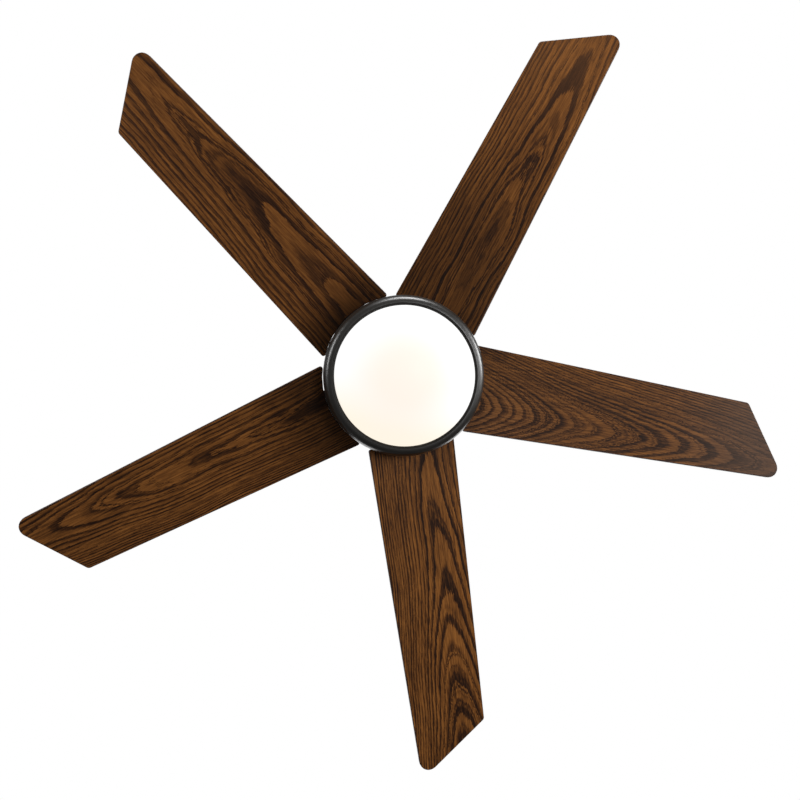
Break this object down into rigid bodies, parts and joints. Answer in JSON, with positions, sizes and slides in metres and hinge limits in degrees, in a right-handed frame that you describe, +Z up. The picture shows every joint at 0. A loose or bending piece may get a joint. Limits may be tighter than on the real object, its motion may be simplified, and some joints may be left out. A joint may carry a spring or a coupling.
{
  "type": "ceiling fan with light",
  "caption": "Ceiling fan with pitched wooden blades on dark irons and a round opal light in a rolled dark ring, hung from a ball-and-socket downrod.",
  "frame": {"origin": "on the ceiling, over the fan's axis: the middle of the hanger bracket's top face", "axes": "+Z up out of the ceiling face, so the fan hangs towards -Z; +X along the first blade and along the line of the two ceiling screw slots"},
  "size_m": [1.2205, 1.2555, 0.3659],
  "materials": {
    "dark_bronze": "fine-textured matte dark bronze powder coat",
    "dark_oak": "dark walnut-stained open-pore oak veneer, satin lacquer",
    "opal_glass": "frosted opal glass, lit from inside",
    "zinc_steel": "zinc-plated steel",
    "black_steel": "black oxide on cast steel",
    "bearing_steel": "ground steel",
    "lamination_steel": "stacked electrical steel",
    "copper_wire": "enamelled copper wire",
    "cast_aluminium": "die-cast, unpainted",
    "brass": "turned brass",
    "white_plastic": "moulded white plastic",
    "black_plastic": "moulded black plastic",
    "white_paint": "white reflective enamel",
    "board_white": "white solder mask",
    "led_phosphor": "yellow phosphor over each light chip"
  },
  "bodies": {
    "ceiling_mount": {"hanger_bracket": "zinc_steel", "remote_receiver": "white_plastic", "canopy": "dark_bronze", "canopy_screws": "dark_bronze"},
    "hanging_fan": {"hanger_ball": "black_steel", "ball_pin": "zinc_steel", "downrod": "dark_bronze", "wire_sleeve": "black_plastic", "motor_coupling": "black_steel", "coupling_pin": "zinc_steel", "coupling_clip": "zinc_steel", "coupling_set_screws": "black_steel", "coupling_cover": "dark_bronze", "motor_housing": "dark_bronze", "housing_screws": "zinc_steel", "reverse_switch": "black_plastic", "motor_shaft": "bearing_steel", "stator_core": "lamination_steel", "stator_windings": "copper_wire", "bearing_inner_rings": "bearing_steel", "light_flange": "cast_aluminium", "flange_nut": "zinc_steel", "light_pan": "dark_bronze", "pan_screws": "zinc_steel", "led_driver": "white_plastic", "run_capacitor": "black_plastic", "led_standoffs": "zinc_steel", "led_plate": "white_paint", "led_plate_screws": "zinc_steel", "led_board": "board_white", "led_chips": "led_phosphor"},
    "rotor": {"rotor_lower_shell": "cast_aluminium", "rotor_upper_shell": "cast_aluminium", "rotor_shell_screws": "zinc_steel", "rotor_ring": "lamination_steel", "bearing_outer_rings": "bearing_steel", "blade_iron_1": "dark_bronze", "blade_iron_2": "dark_bronze", "blade_iron_3": "dark_bronze", "blade_iron_4": "dark_bronze", "blade_iron_5": "dark_bronze", "iron_screws": "zinc_steel", "blade_1": "dark_oak", "blade_2": "dark_oak", "blade_3": "dark_oak", "blade_4": "dark_oak", "blade_5": "dark_oak", "blade_inserts": "brass", "blade_screws": "dark_bronze"},
    "bearing_train": {"bearing_balls": "bearing_steel", "bearing_cages": "brass"},
    "glass": {"glass_dome": "opal_glass"},
    "reverse_slider": {"switch_slider": "black_plastic"}
  },
  "joints": [
    {"name": "hanger_swing", "type": "hinge", "parent": "ceiling_mount", "child": "hanging_fan", "pos_m": [0, 0, -0.048], "axis": [1, 0, 0], "range_deg": [-6, 6]},
    {"name": "rotor_spin", "type": "hinge", "parent": "hanging_fan", "child": "rotor", "pos_m": [0, 0, -0.26495], "axis": [0, 0, 1], "continuous": true},
    {"name": "bearing_roll", "type": "hinge", "parent": "hanging_fan", "child": "bearing_train", "pos_m": [0, 0, -0.2322], "axis": [0, 0, 1], "continuous": true},
    {"name": "glass_twist", "type": "hinge", "parent": "hanging_fan", "child": "glass", "pos_m": [0, 0, -0.31995], "axis": [0, 0, -1], "range_deg": [0, 25]},
    {"name": "reverse_slide", "type": "slide", "parent": "hanging_fan", "child": "reverse_slider", "axis": [1, 0, 0], "range_m": [0, 0.004]}
  ],
  "couplings": [
    {"joint": "bearing_roll", "follows": "rotor_spin", "ratio": 0.62}
  ]
}
